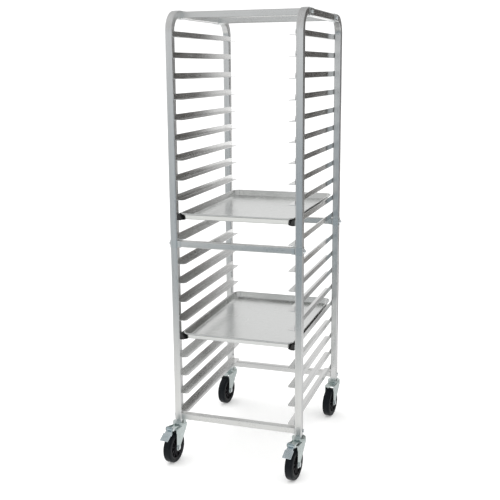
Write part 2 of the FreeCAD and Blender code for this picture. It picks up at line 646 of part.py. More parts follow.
# ---- Brakes, in the caster's frame ----
def brake_bracket():
    """Bent plate on the crown with two ears that carry the brake pin."""
    y = BRAKE_PIN_Y
    z = BRAKE_PIN_Z
    base = block(-EAR_OUTSIDE, EAR_OUTSIDE, -FORK_FRONT_REACH, BRACKET_BACK,
                 CROWN_TOP, CROWN_TOP + BRAKE_BASE_SHEET)
    outline = [
        (BRACKET_BACK, CROWN_TOP),
        (BRACKET_BACK, CROWN_TOP + 2 * BRAKE_BASE_SHEET),
        (y + BRAKE_EAR_FLAT, z + BRAKE_EAR_RADIUS),
        (y - BRAKE_EAR_RADIUS, z + BRAKE_EAR_RADIUS / 2),
        (y - BRAKE_EAR_RADIUS, z - BRAKE_EAR_RADIUS / 2),
        (y + BRAKE_EAR_FLAT, z - BRAKE_EAR_RADIUS),
        (-FORK_FRONT_REACH, CROWN_TOP),
    ]
    ears = [polygon_yz(outline, x0, x0 + BRAKE_EAR_SHEET) for x0 in (-EAR_OUTSIDE, BRAKE_EAR_INSIDE)]
    reach = EAR_OUTSIDE + OVERRUN
    hole = rod(BRAKE_PIN_RADIUS + THREAD_CLEARANCE, V(-reach, y, z), V(reach, y, z))
    return base.fuse(ears).removeSplitter().cut(hole).Solids[0]


def brake_pin():
    """Riveted pin through both ears and the pedal."""
    def at(x):
        return V(x, BRAKE_PIN_Y, BRAKE_PIN_Z)

    end = EAR_OUTSIDE + BRAKE_PIN_HEAD_HEIGHT
    shank = rod(BRAKE_PIN_RADIUS, at(-end), at(end))
    heads = [rod(BRAKE_PIN_HEAD_RADIUS, at(x0), at(x0 + BRAKE_PIN_HEAD_HEIGHT))
             for x0 in (-end, EAR_OUTSIDE)]
    return shank.fuse(heads).removeSplitter().Solids[0]


def arm_plate(angle, start, length, half_width, thickness):
    """A plate that leaves the brake pin at an angle below (+) or above (-) straight ahead."""
    plate = block(-half_width, half_width, -start - length, -start, -thickness / 2, thickness / 2)
    plate.rotate(V(0, 0, 0), V(1, 0, 0), angle)
    plate.translate(V(0, BRAKE_PIN_Y, BRAKE_PIN_Z))
    return plate


def brake_pedal():
    """Two-lobe pedal: a wide pad to step on, a release lobe above it, and a cam for the tyre."""
    half = BRAKE_EAR_INSIDE - BRAKE_HUB_GAP
    left_end = V(-half, BRAKE_PIN_Y, BRAKE_PIN_Z)
    right_end = V(half, BRAKE_PIN_Y, BRAKE_PIN_Z)
    hub = rod(BRAKE_HUB_RADIUS, left_end, right_end)
    arm = arm_plate(PEDAL_DROP_ANGLE, 0, PEDAL_REACH, half, BRAKE_PEDAL_SHEET)
    pad = arm_plate(PEDAL_DROP_ANGLE, PEDAL_REACH - PEDAL_PAD_LENGTH, PEDAL_PAD_LENGTH,
                    PEDAL_HALF_WIDTH, BRAKE_PEDAL_SHEET)
    release = arm_plate(-RELEASE_ANGLE, 0, RELEASE_LENGTH, half, BRAKE_PEDAL_SHEET)
    ahead = BRAKE_PIN_FORWARD - CASTER_LEAD
    to_axle = math.degrees(math.atan2(BRAKE_PIN_Z - AXLE_Z, ahead))
    cam_length = math.hypot(BRAKE_PIN_Z - AXLE_Z, ahead) - WHEEL_DIAMETER / 2 - CAM_TYRE_GAP
    cam = arm_plate(180 - to_axle - BRAKE_TRAVEL, 0, cam_length, CAM_WIDTH / 2, CAM_THICKNESS)
    tread = rod(WHEEL_DIAMETER / 2 + CAM_TYRE_GAP,
                V(-CAM_WIDTH, -CASTER_LEAD, AXLE_Z), V(CAM_WIDTH, -CASTER_LEAD, AXLE_Z))
    tread.rotate(V(0, BRAKE_PIN_Y, BRAKE_PIN_Z), V(1, 0, 0), -BRAKE_TRAVEL)
    body = hub.fuse([arm, pad, release, cam.cut(tread)]).removeSplitter()
    bore = rod(BRAKE_PIN_RADIUS + RUNNING_CLEARANCE, left_end, right_end)
    return body.cut(bore).Solids[0]


def place_caster(shape, sx, sy):
    """A copy of a caster piece, turned about its swivel axis and set under an upright."""
    copy = shape.copy()
    copy.rotate(V(0, 0, 0), V(0, 0, 1), CASTER_TURN)
    copy.translate(V(sx * POST_X, sy * POST_Y, 0))
    return copy


# ---- Build ----
def build_frame():
    corners = [(f"{end}_{side}", sx, sy) for end, sy in ENDS for side, sx in SIDES]
    for name, sx, sy in corners:
        save("upright_upper_" + name, upper_upright(sx, sy))
        save("upright_lower_" + name, lower_upright(sx, sy))
    for side, sx in SIDES:
        save("top_rail_" + side, top_rail(sx))
    save("top_joint_sleeves", *[top_sleeve(sx, sy) for _, sx, sy in corners])
    save("mid_joint_sleeves", *[mid_sleeve(sx, sy) for _, sx, sy in corners])
    save("mid_joint_spigots", *[mid_spigot(sx, sy) for _, sx, sy in corners])
    plugs = []
    bolts = []
    for level, end_x, bar_y, z in CROSSBARS:
        for end, sy in ENDS:
            y = sy * bar_y
            save(f"crossbar_{level}_{end}", crossbar(end_x, y, z))
            for _, sx in SIDES:
                plugs.append(end_plug(sx, end_x, y, z))
                bolts.append(crossbar_bolt(level, sx, end_x, y, z))
    save("crossbar_end_plugs", *plugs)
    save("crossbar_bolts", *bolts)
    mid_end = CROSSBARS[1][1]
    sockets = [end_socket(sx, mid_end, sy * POST_Y, MID_BAR_Z) for _, sx, sy in corners]
    washers = [cup_washer(sx, sy * POST_Y, MID_BAR_Z) for _, sx, sy in corners]
    save("mid_bar_sockets", *sockets)
    save("bolt_cup_washers", *washers)


def build_runners():
    upper = range(1, TIERS_ABOVE_JOINT + 1)
    lower = range(TIERS_ABOVE_JOINT + 1, TIERS_ABOVE_JOINT + TIERS_BELOW_JOINT + 1)
    halves = (("upper", upper), ("lower", lower))
    for side, sx in SIDES:
        for half, tiers in halves:
            save(f"runners_{side}_{half}", *[runner(sx, tier) for tier in tiers])
    save("pan_guides", *[pan_guide(sx, tier) for tier in PAN_TIERS for _, sx in SIDES])


def build_pans():
    pan = sheet_pan()
    wire = rim_ring(BEAD_WIRE_RADIUS)
    for name, tier in zip(("upper", "lower"), PAN_TIERS):
        for node, shape in (("sheet_pan_", pan), ("pan_rim_wire_", wire)):
            raised = shape.copy()
            raised.translate(V(0, 0, pan_z(tier)))
            save(node + name, raised)


def build_casters():
    pieces = {"fork": [fork()], "axle": axle_set(), "tyre": [tyre()], "core": [wheel_core()],
              "stem": [caster_stem()]}
    brake_pieces = {"bracket": brake_bracket(), "pin": brake_pin(), "pedal": brake_pedal()}
    balls = []
    adapters = []
    for end, sy in ENDS:
        for side, sx in SIDES:
            for kind, solids in pieces.items():
                save(f"caster_{kind}_{end}_{side}", *[place_caster(s, sx, sy) for s in solids])
            balls += [place_caster(ball, sx, sy) for ball in swivel_balls()]
            adapter = caster_adapter()
            adapter.translate(V(sx * POST_X, sy * POST_Y, 0))
            adapters.append(adapter)
            if end == "front":
                for kind, solid in brake_pieces.items():
                    save(f"brake_{kind}_{side}", place_caster(solid, sx, sy))
    save("swivel_balls", *balls)
    save("caster_adapters", *adapters)


os.makedirs("parts", exist_ok=True)
build_frame()
build_runners()
build_pans()
build_casters()
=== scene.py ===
"""Finishes, fine detail and studio for a knock-down sheet pan rack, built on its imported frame."""
import json
import math

import bpy
from bpy.props import FloatProperty, FloatVectorProperty, IntProperty, PointerProperty
from mathutils import Matrix, Vector


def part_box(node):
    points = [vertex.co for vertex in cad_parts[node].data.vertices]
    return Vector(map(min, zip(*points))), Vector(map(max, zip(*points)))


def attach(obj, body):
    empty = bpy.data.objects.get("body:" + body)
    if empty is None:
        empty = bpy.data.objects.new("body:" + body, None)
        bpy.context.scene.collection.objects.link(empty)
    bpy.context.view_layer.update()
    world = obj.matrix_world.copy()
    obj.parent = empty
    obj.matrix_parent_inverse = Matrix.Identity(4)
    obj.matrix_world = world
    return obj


bl_info = {
    "name": "Sheet Pan Rack",
    "version": (1, 0, 0),
    "blender": (4, 5, 0),
    "location": "View3D > Sidebar > Pan Rack",
    "description": "Finishes, weld beads, tyre and pedal detail and a studio for a sheet pan rack",
    "category": "Object",
}

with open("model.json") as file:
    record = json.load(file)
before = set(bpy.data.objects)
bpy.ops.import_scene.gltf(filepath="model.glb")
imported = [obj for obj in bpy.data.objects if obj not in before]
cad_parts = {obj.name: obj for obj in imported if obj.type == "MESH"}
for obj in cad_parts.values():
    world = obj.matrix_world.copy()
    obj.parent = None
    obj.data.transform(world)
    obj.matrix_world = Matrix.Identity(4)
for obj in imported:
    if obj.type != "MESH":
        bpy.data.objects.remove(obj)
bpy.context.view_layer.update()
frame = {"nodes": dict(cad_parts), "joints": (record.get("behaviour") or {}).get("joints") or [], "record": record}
JOINTS = {joint["name"]: joint for joint in frame["joints"]}
SIDES = ("left", "right")
ENDS = ("front", "rear")
CASTERS = [f"{end}_{side}" for end in ENDS for side in SIDES]


def slot_colour(slot):
    """The colour that the record gives a material slot."""
    for material in frame["record"]["materials"]:
        if material["slot"] == slot:
            return tuple(material["base_color"])
    raise RuntimeError("the record has no material slot " + slot)


# ---- What a user may change ----
def colour_of(name, slot, description, tint=(1.0, 1.0, 1.0)):
    """A colour whose default is the record's, times a tint."""
    default = tuple(channel * part for channel, part in zip(slot_colour(slot), tint))
    return FloatVectorProperty(name=name, description=description, default=default,
                               subtype="COLOR", min=0.0, max=1.0, size=3)


def ratio_of(name, default, description):
    return FloatProperty(name=name, description=description, default=default,
                         min=0.0, max=1.0, subtype="FACTOR")


def length_of(name, default, description):
    return FloatProperty(name=name, description=description, default=default,
                         min=0.0, unit="LENGTH", precision=5)


class RackFinishes(bpy.types.PropertyGroup):
    """Colour and gloss of every surface of the rack."""
    tube_colour: colour_of("Tube", "frame_tube", "Square tube of the side frames",
                           (1.21, 1.16, 1.12))
    tube_roughness: ratio_of("Tube roughness", 0.30, "How satin the square tube is")
    bar_colour: colour_of("Crossbar", "crossbar_tube", "Crossbars", (1.08, 1.08, 1.08))
    runner_colour: colour_of("Runner", "runner_sheet", "Angle runners", (1.27, 1.25, 1.24))
    runner_roughness: ratio_of("Runner roughness", 0.21, "How dull the runners' mill finish is")
    fitting_colour: colour_of("Fitting", "cast_fitting", "Sleeves, sockets and caster adapters")
    inner_colour: colour_of("Inner fitting", "inner_fitting", "Spigots, plugs and rim wire")
    bolt_colour: colour_of("Bolt", "bolt_steel", "Bolts, nuts and cup washers")
    zinc_colour: colour_of("Zinc", "zinc_steel", "Caster forks, stems and brake brackets",
                           (0.82, 0.84, 0.83))
    pedal_colour: colour_of("Pedal", "pedal_steel", "Brake pedals", (0.84, 0.85, 0.87))
    ball_colour: colour_of("Ball", "steel_ball", "Swivel balls")
    pan_colour: colour_of("Pan", "pan_sheet", "Pressed aluminium pans",
                          (0.96, 0.96, 0.95))
    pan_roughness: ratio_of("Pan roughness", 0.24, "How bright the pans are")
    tyre_colour: colour_of("Tyre", "tyre_rubber", "Rubber of the tyres",
                           (0.07, 0.10, 0.13))
    core_colour: colour_of("Wheel core", "core_plastic", "Moulded wheel cores",
                           (0.4, 0.4, 0.4))
    # Painted shade: the near-black wedges at the pans' front corners are drawn as rubber guides and also stand in
    # for the shade there.
    guide_and_shade_colour: colour_of("Pan guide", "guide_rubber", "Rubber wedges beside the pans")
    # Painted shade: the near-black colour of the thin tubes along the pans' rim seams stands for the shade in the
    # crease under each rolled rim.
    seam_shade_colour: FloatVectorProperty(
        name="Rim seam", description="Oil baked into the seams of the pans' rims",
        default=(0.035, 0.033, 0.030), subtype="COLOR", min=0.0, max=1.0, size=3)
    dust_colour: FloatVectorProperty(
        name="Dust", description="Pale dust on the rubber", default=(0.10, 0.11, 0.11),
        subtype="COLOR", min=0.0, max=1.0, size=3)


class RackDetails(bpy.types.PropertyGroup):
    """Sizes of the weld beads and of the tyre, seal and pedal detail."""
    weld_radius: length_of("Weld radius", 0.0014, "Half the width of a weld bead")
    weld_ripple: length_of("Weld ripple", 0.0016, "Distance from one ripple of a bead to the next")
    weld_depth: ratio_of("Weld depth", 0.12, "How much a ripple swells its bead")
    weld_length: length_of("Weld length", 0.015, "Length of one level bead")
    weld_seed: IntProperty(name="Weld seed", description="Changes the unevenness of the beads",
                           default=7, min=0)
    pan_corner: length_of("Pan corner", 0.030, "Radius of a pan's corner at its rim")
    seam_radius: length_of("Seam radius", 0.0008, "Half the width of a rolled rim's seam")
    seam_drop: length_of("Seam drop", 0.0051, "Top of a pan's rim down to its seams")
    outer_seam: length_of("Outer seam", 0.0013, "Outside of a pan's rim in to its outer seam")
    inner_seam: length_of("Inner seam", 0.0042, "Outside of a pan's rim in to its inner seam")
    rib_count: IntProperty(name="Tyre ribs", description="Short ribs round each side of a tyre",
                           default=72, min=3)
    rib_radius: length_of("Tyre rib radius", 0.0004, "Half the width of a tyre rib")
    grip_count: IntProperty(name="Pedal grips", description="Raised bars across a pedal",
                            default=3, min=1)
    grip_radius: length_of("Grip radius", 0.0007, "Half the width of a pedal's raised bar")
    grip_length: length_of("Grip length", 0.026, "Length of a pedal's raised bar")
    grip_step: length_of("Grip step", 0.0058, "Distance from one raised bar to the next")
    seal_ring: length_of("Seal ring", 0.0255, "Radius of a swivel's dust seal")
    seal_radius: length_of("Seal radius", 0.0004, "Half the height of a swivel's dust seal")


class RackStudio(bpy.types.PropertyGroup):
    """Camera, floor and light."""
    lens: FloatProperty(name="Lens", description="Focal length in millimetres", default=59.7,
                        min=10.0, subtype="DISTANCE_CAMERA")
    shift: FloatProperty(name="Shift", description="Vertical shift of the lens", default=-0.03)
    heading: FloatProperty(name="Heading", description="Turn of the camera to the left",
                           default=math.radians(18.135), subtype="ANGLE")
    tilt: FloatProperty(name="Tilt", description="How far the camera looks down",
                        default=math.radians(11.43), subtype="ANGLE")
    roll: FloatProperty(name="Roll", description="Turn of the camera about its own axis",
                        default=math.radians(-0.43), subtype="ANGLE")
    stand: FloatVectorProperty(name="Stand", description="Where the camera is", size=3,
                               default=(1.0113, -3.2302, 1.5613), subtype="TRANSLATION",
                               unit="LENGTH")
    sky: FloatProperty(name="Sky", description="Brightness of the white surroundings",
                       default=1.15, min=0.0)
    gloss_sky: ratio_of("Sky in gloss", 0.74, "Share of the surroundings that reflections see")
    key_power: FloatProperty(name="Key light", description="Power of the overhead soft light",
                             default=20.0, min=0.0, unit="POWER")
    card_shade: ratio_of("Card shade", 0.075, "Brightness of the dark card to the right")
    floor_glow: ratio_of("Floor glow", 0.20, "Light of the floor's own, which thins the shadows")
    floor_colour: FloatVectorProperty(
        name="Floor", description="Pale studio floor", default=(0.93, 0.93, 0.925),
        subtype="COLOR", min=0.0, max=1.0, size=3)


# ---- Node helpers ----
def add(tree, kind, inputs=None, **settings):
    """A new node with its settings; each input is given a value or another node's output."""
    node = tree.nodes.new(kind)
    for key, value in settings.items():
        setattr(node, key, value)
    for key, value in (inputs or {}).items():
        socket = node.inputs[key]
        if isinstance(value, bpy.types.NodeSocket):
            tree.links.new(value, socket)
        else:
            socket.default_value = value
    return node


def maths(tree, operation, first, second=0.0, third=0.0):
    return add(tree, "ShaderNodeMath", {0: first, 1: second, 2: third}, operation=operation).outputs[0]


def spread(tree, value, low, high, start=0.3, end=0.7):
    """Maps start..end of a pattern onto low..high."""
    node = add(tree, "ShaderNodeMapRange",
               {"Value": value, "From Min": start, "From Max": end, "To Min": low, "To Max": high})
    return node.outputs["Result"]


def new_finish(name):
    """An empty material with its output and a Principled shader."""
    material = bpy.data.materials.new(name)
    material.use_nodes = True
    tree = material.node_tree
    tree.nodes.clear()
    output = add(tree, "ShaderNodeOutputMaterial")
    shader = add(tree, "ShaderNodeBsdfPrincipled")
    tree.links.new(shader.outputs["BSDF"], output.inputs["Surface"])
    place = add(tree, "ShaderNodeTexCoord").outputs["Object"]
    return material, tree, shader, place


def noise(tree, place, scale, detail=3.0, roughness=0.55, stretch=None):
    """A noise pattern with about `scale` features a metre; stretch scales it along X, Y and Z."""
    if stretch:
        place = add(tree, "ShaderNodeMapping", {"Vector": place, "Scale": stretch}).outputs["Vector"]
    node = add(tree, "ShaderNodeTexNoise",
               {"Vector": place, "Scale": scale, "Detail": detail, "Roughness": roughness})
    return node.outputs["Fac"]


def shades(tree, value, dark, light, start=0.32, end=0.68):
    """Turns a pattern into colours between two tones."""
    ramp = add(tree, "ShaderNodeValToRGB", {"Fac": value})
    ramp.color_ramp.elements[0].position = start
    ramp.color_ramp.elements[0].color = (*dark, 1.0)
    ramp.color_ramp.elements[1].position = end
    ramp.color_ramp.elements[1].color = (*light, 1.0)
    return ramp.outputs["Color"]


def scaled(colour, factor):
    return tuple(min(1.0, channel * factor) for channel in colour)


def set_bump(tree, shader, height, strength, distance):
    bump = add(tree, "ShaderNodeBump", {"Height": height, "Strength": strength, "Distance": distance})
    tree.links.new(bump.outputs["Normal"], shader.inputs["Normal"])


AXIS = {"X": 0, "Y": 1, "Z": 2}


def grain_stretch(axis, across, along):
    stretch = [across] * 3
    stretch[AXIS[axis]] = along
    return tuple(stretch)


# ---- Finishes ----
def brushed_aluminium(name, colour, roughness, axis, contrast=0.07, lines=700.0, blur=0.5):
    """Satin aluminium with fine lines along one axis, soft streaks and handling marks."""
    material, tree, shader, place = new_finish(name)
    fine = noise(tree, place, 1.0, 3.0, 0.6, grain_stretch(axis, lines, 9.0))
    streaks = noise(tree, place, 1.0, 3.0, 0.5, grain_stretch(axis, 90.0, 1.6))
    patches = noise(tree, place, 6.0, 4.0, 0.6)
    marks = noise(tree, place, 42.0, 5.0, 0.65)
    tone = maths(tree, "ADD", maths(tree, "MULTIPLY", fine, 0.35),
                 maths(tree, "ADD", maths(tree, "MULTIPLY", streaks, 0.35),
                       maths(tree, "MULTIPLY", patches, 0.30)))
    tree.links.new(shades(tree, tone, scaled(colour, 1.0 - contrast), scaled(colour, 1.0 + contrast),
                          0.38, 0.62), shader.inputs["Base Color"])
    worn = maths(tree, "ADD", spread(tree, fine, -0.03, 0.03),
                 maths(tree, "ADD", spread(tree, patches, -0.03, 0.03),
                       spread(tree, marks, -0.01, 0.04, 0.5, 0.8)))
    tree.links.new(maths(tree, "ADD", worn, roughness), shader.inputs["Roughness"])
    shader.inputs["Metallic"].default_value = 1.0
    shader.inputs["Anisotropic"].default_value = blur
    shader.inputs["Anisotropic Rotation"].default_value = 0.25
    along = [0.0, 0.0, 0.0]
    along[AXIS[axis]] = 1.0
    lay = add(tree, "ShaderNodeCombineXYZ", {"X": along[0], "Y": along[1], "Z": along[2]})
    tree.links.new(lay.outputs["Vector"], shader.inputs["Tangent"])
    height = maths(tree, "ADD", fine, maths(tree, "MULTIPLY", marks, 0.4))
    set_bump(tree, shader, height, 0.03, 0.0002)
    return material


def plated_steel(name, colour, roughness, warm=0.97, cool=1.03, grain=520.0):
    """Bright zinc or nickel plate: faint cloudy tint, slight orange peel and small scuffs."""
    material, tree, shader, place = new_finish(name)
    clouds = noise(tree, place, 34.0, 4.0, 0.6)
    peel = noise(tree, place, grain, 2.0, 0.5)
    scuffs = add(tree, "ShaderNodeTexVoronoi", {"Vector": place, "Scale": 210.0},
                 feature="DISTANCE_TO_EDGE").outputs["Distance"]
    dark = (colour[0] * 0.86 * warm, colour[1] * 0.87, colour[2] * 0.86)
    light = (min(1.0, colour[0] * 1.06), min(1.0, colour[1] * 1.08), min(1.0, colour[2] * 1.08 * cool))
    tree.links.new(shades(tree, clouds, dark, light, 0.3, 0.7), shader.inputs["Base Color"])
    dulled = maths(tree, "ADD", spread(tree, clouds, -0.06, 0.08),
                   spread(tree, scuffs, 0.02, 0.0, 0.0, 0.08))
    tree.links.new(maths(tree, "ADD", dulled, roughness), shader.inputs["Roughness"])
    shader.inputs["Metallic"].default_value = 1.0
    set_bump(tree, shader, peel, 0.06, 0.0001)
    return material


def pressed_pan(name, colour, roughness):
    """Bright rolled sheet with faint rolling lines and fine random scratches from use."""
    material, tree, shader, place = new_finish(name)
    rolled = noise(tree, place, 1.0, 3.0, 0.6, (620.0, 7.0, 620.0))
    haze = noise(tree, place, 9.0, 4.0, 0.6)
    turned = add(tree, "ShaderNodeMapping",
                 {"Vector": place, "Rotation": (0.0, 0.0, 0.6), "Scale": (14.0, 900.0, 900.0)})
    scratch = add(tree, "ShaderNodeTexNoise",
                  {"Vector": turned.outputs["Vector"], "Scale": 1.0, "Detail": 2.0}).outputs["Fac"]
    tone = maths(tree, "ADD", maths(tree, "MULTIPLY", rolled, 0.4), maths(tree, "MULTIPLY", haze, 0.6))
    tree.links.new(shades(tree, tone, scaled(colour, 0.97), scaled(colour, 1.03), 0.36, 0.64),
                   shader.inputs["Base Color"])
    worn = maths(tree, "ADD", spread(tree, rolled, -0.02, 0.03), spread(tree, haze, -0.03, 0.03))
    worn = maths(tree, "ADD", worn, spread(tree, scratch, 0.0, 0.08, 0.62, 0.72))
    tree.links.new(maths(tree, "ADD", worn, roughness), shader.inputs["Roughness"])
    shader.inputs["Metallic"].default_value = 1.0
    height = maths(tree, "SUBTRACT", rolled, spread(tree, scratch, 0.0, 0.6, 0.62, 0.72))
    set_bump(tree, shader, height, 0.05, 0.0001)
    return material


def worn_rubber(name, colour, dust, roughness, dusty):
    """Black rubber with a fine moulded grain and pale dust in patches."""
    material, tree, shader, place = new_finish(name)
    grain = noise(tree, place, 900.0, 2.0, 0.5)
    patches = noise(tree, place, 46.0, 5.0, 0.65)
    dusted = tuple(black + (pale - black) * dusty for black, pale in zip(colour, dust))
    tree.links.new(shades(tree, patches, colour, dusted, 0.46, 0.78), shader.inputs["Base Color"])
    tree.links.new(maths(tree, "ADD", spread(tree, patches, -0.06, 0.12), roughness),
                   shader.inputs["Roughness"])
    shader.inputs["Specular IOR Level"].default_value = 0.15
    set_bump(tree, shader, maths(tree, "ADD", grain, patches), 0.25, 0.0003)
    return material


def moulded_plastic(name, colour, roughness):
    """Black moulded plastic with a fine spark-eroded grain."""
    material, tree, shader, place = new_finish(name)
    grain = noise(tree, place, 1300.0, 2.0, 0.5)
    clouds = noise(tree, place, 30.0, 3.0, 0.5)
    tree.links.new(shades(tree, clouds, scaled(colour, 0.8), scaled(colour, 1.5)),
                   shader.inputs["Base Color"])
    tree.links.new(maths(tree, "ADD", spread(tree, grain, -0.05, 0.08), roughness),
                   shader.inputs["Roughness"])
    shader.inputs["Specular IOR Level"].default_value = 0.25
    set_bump(tree, shader, grain, 0.15, 0.0002)
    return material


def painted_seam_shade(name, colour):
    """Painted shade for a seam: brown-black, lighter in places so that metal shows through."""
    material, tree, shader, place = new_finish(name)
    patchy = noise(tree, place, 60.0, 4.0, 0.6)
    tree.links.new(shades(tree, patchy, colour, scaled(colour, 4.0), 0.45, 0.8),
                   shader.inputs["Base Color"])
    tree.links.new(spread(tree, patchy, 0.6, 0.35), shader.inputs["Roughness"])
    tree.links.new(spread(tree, patchy, 0.2, 0.8), shader.inputs["Metallic"])
    set_bump(tree, shader, patchy, 0.2, 0.0001)
    return material


def weld_metal(name, colour):
    """Aluminium weld: bright ripple crests with a little grey oxide between them."""
    material, tree, shader, place = new_finish(name)
    oxide = noise(tree, place, 420.0, 4.0, 0.65)
    tree.links.new(shades(tree, oxide, scaled(colour, 0.60), scaled(colour, 0.95)),
                   shader.inputs["Base Color"])
    tree.links.new(spread(tree, oxide, 0.52, 0.30), shader.inputs["Roughness"])
    shader.inputs["Metallic"].default_value = 1.0
    set_bump(tree, shader, oxide, 0.3, 0.0002)
    return material


def dress(material, *nodes):
    """Gives CAD nodes one material."""
    for name in nodes:
        slots = frame["nodes"][name].data.materials
        slots.clear()
        slots.append(material)


# ---- Geometry helpers ----
def node_tree(name, *sockets):
    """A geometry tree with a Geometry input and output and the named inputs."""
    tree = bpy.data.node_groups.new(name, "GeometryNodeTree")
    tree.interface.new_socket("Geometry", in_out="INPUT", socket_type="NodeSocketGeometry")
    for label, kind in sockets:
        tree.interface.new_socket(label, in_out="INPUT", socket_type="NodeSocket" + kind)
    tree.interface.new_socket("Geometry", in_out="OUTPUT", socket_type="NodeSocketGeometry")
    given = tree.nodes.new("NodeGroupInput").outputs
    return tree, given


def end_tree(tree, geometry, material):
    """Realize Instances, smooth shading and Set Material, then the output."""
    real = add(tree, "GeometryNodeRealizeInstances", {"Geometry": geometry}).outputs["Geometry"]
    smooth = add(tree, "GeometryNodeSetShadeSmooth", {"Geometry": real}).outputs["Geometry"]
    final = add(tree, "GeometryNodeSetMaterial", {"Geometry": smooth, "Material": material})
    add(tree, "NodeGroupOutput", {"Geometry": final.outputs["Geometry"]})


def new_object(name, data):
    item = bpy.data.objects.new(name, data)
    bpy.context.collection.objects.link(item)
    return item


def grow(name, tree, values, base, place=None):
    """Runs a tree on a base mesh and keeps the result as a plain mesh object."""
    source = new_object(name + "_base", base)
    modifier = source.modifiers.new("Build", "NODES")
    modifier.node_group = tree
    for item in tree.interface.items_tree:
        if item.in_out == "INPUT" and item.name in values:
            modifier[item.identifier] = values[item.name]
    depsgraph = bpy.context.evaluated_depsgraph_get()
    mesh = bpy.data.meshes.new_from_object(source.evaluated_get(depsgraph), depsgraph=depsgraph)
    source.modifiers.remove(modifier)
    bpy.data.objects.remove(source)
    if place:
        mesh.transform(place)
    mesh.name = name
    return new_object(name, mesh)


def line_mesh(name, segments):
    """A mesh of separate edges."""
    mesh = bpy.data.meshes.new(name)
    points = [point for segment in segments for point in segment]
    mesh.from_pydata(points, [(2 * k, 2 * k + 1) for k in range(len(segments))], [])
    return mesh


def joint_frame(name):
    """Local X along the joint's axis, local Y level and to the rear, origin at the joint."""
    joint = JOINTS[name]
    across = Vector(joint["axis"]).normalized()
    up = Vector((0.0, 0.0, 1.0))
    rear = up.cross(across)
    turn = Matrix((across, rear, up)).transposed().to_4x4()
    return Matrix.Translation(joint["pos_m"]) @ turn


# ---- Trees ----
def circle(tree, sides, radius):
    node = add(tree, "GeometryNodeCurvePrimitiveCircle", {"Resolution": sides, "Radius": radius})
    return node.outputs["Curve"]


def centred_line(tree, length):
    """A straight curve along X with its middle at the origin."""
    half = maths(tree, "MULTIPLY", length, 0.5)
    start = add(tree, "ShaderNodeCombineXYZ", {"X": maths(tree, "MULTIPLY", half, -1.0)})
    end = add(tree, "ShaderNodeCombineXYZ", {"X": half})
    return add(tree, "GeometryNodeCurvePrimitiveLine",
               {"Start": start.outputs["Vector"], "End": end.outputs["Vector"]}).outputs["Curve"]


def end_taper(tree, power, depth):
    """About 1 along a curve, and less by depth at its ends; a high power makes it a late fall."""
    run = add(tree, "GeometryNodeSplineParameter").outputs["Factor"]
    double = maths(tree, "MULTIPLY", run, 2.0)
    off_middle = maths(tree, "ABSOLUTE", maths(tree, "SUBTRACT", double, 1.0))
    fall = maths(tree, "MULTIPLY", maths(tree, "POWER", off_middle, power), depth)
    return maths(tree, "SUBTRACT", 1.0, fall)


def bead_tree():
    """A rippled weld bead along every edge of the base mesh."""
    tree, given = node_tree("Weld bead", ("Bead radius", "Float"), ("Ripple pitch", "Float"),
                            ("Ripple depth", "Float"), ("Seed", "Int"), ("Material", "Material"))
    curve = add(tree, "GeometryNodeMeshToCurve", {"Mesh": given["Geometry"]}).outputs["Curve"]
    step = maths(tree, "DIVIDE", given["Ripple pitch"], 3.0)
    path = add(tree, "GeometryNodeResampleCurve", {"Curve": curve, "Length": step}, mode="LENGTH")
    run = add(tree, "GeometryNodeSplineParameter").outputs["Length"]
    turns = maths(tree, "DIVIDE", run, given["Ripple pitch"])
    wave = maths(tree, "SINE", maths(tree, "MULTIPLY", turns, math.tau))
    uneven = add(tree, "FunctionNodeRandomValue", {2: -0.08, 3: 0.08, "Seed": given["Seed"]},
                 data_type="FLOAT").outputs[1]
    ripple = maths(tree, "ADD", maths(tree, "MULTIPLY", wave, given["Ripple depth"]), uneven)
    taper = end_taper(tree, power=8.0, depth=0.6)
    size = maths(tree, "MULTIPLY", taper, maths(tree, "ADD", ripple, 0.92))
    bead = add(tree, "GeometryNodeCurveToMesh",
               {"Curve": path.outputs["Curve"], "Profile Curve": circle(tree, 8, given["Bead radius"]),
                "Scale": size, "Fill Caps": True})
    end_tree(tree, bead.outputs["Mesh"], given["Material"])
    return tree


def tyre_rib_tree():
    """Short radial ribs and two raised rings on both sides of a tyre; the axle is local X."""
    tree, given = node_tree("Tyre sides", ("Half width", "Float"), ("Rib circle", "Float"),
                            ("Rib length", "Float"), ("Rib radius", "Float"), ("Rib count", "Int"),
                            ("Inner ring", "Float"), ("Outer ring", "Float"),
                            ("Material", "Material"))
    places = add(tree, "GeometryNodeMeshCircle",
                 {"Vertices": given["Rib count"], "Radius": given["Rib circle"]}).outputs["Mesh"]
    outward = add(tree, "FunctionNodeAlignRotationToVector",
                  {"Vector": add(tree, "GeometryNodeInputPosition").outputs["Position"]}, axis="X")
    profile = circle(tree, 6, given["Rib radius"])
    rib = add(tree, "GeometryNodeCurveToMesh",
              {"Curve": centred_line(tree, given["Rib length"]), "Profile Curve": profile,
               "Fill Caps": True}).outputs["Mesh"]
    ribs = add(tree, "GeometryNodeInstanceOnPoints",
               {"Points": places, "Instance": rib, "Rotation": outward.outputs["Rotation"]})
    side = add(tree, "GeometryNodeJoinGeometry")
    tree.links.new(ribs.outputs["Instances"], side.inputs["Geometry"])
    for radius in (given["Inner ring"], given["Outer ring"]):
        ring = add(tree, "GeometryNodeCurveToMesh",
                   {"Curve": circle(tree, 96, radius), "Profile Curve": profile})
        tree.links.new(ring.outputs["Mesh"], side.inputs["Geometry"])
    sides = add(tree, "GeometryNodeJoinGeometry")
    for way in (-1.0, 1.0):
        reach = maths(tree, "MULTIPLY", given["Half width"], way)
        offset = add(tree, "ShaderNodeCombineXYZ", {"X": reach})
        moved = add(tree, "GeometryNodeTransform",
                    {"Geometry": side.outputs["Geometry"], "Translation": offset.outputs["Vector"],
                     "Rotation": (0.0, math.pi / 2, 0.0)})
        tree.links.new(moved.outputs["Geometry"], sides.inputs["Geometry"])
    end_tree(tree, sides.outputs["Geometry"], given["Material"])
    return tree


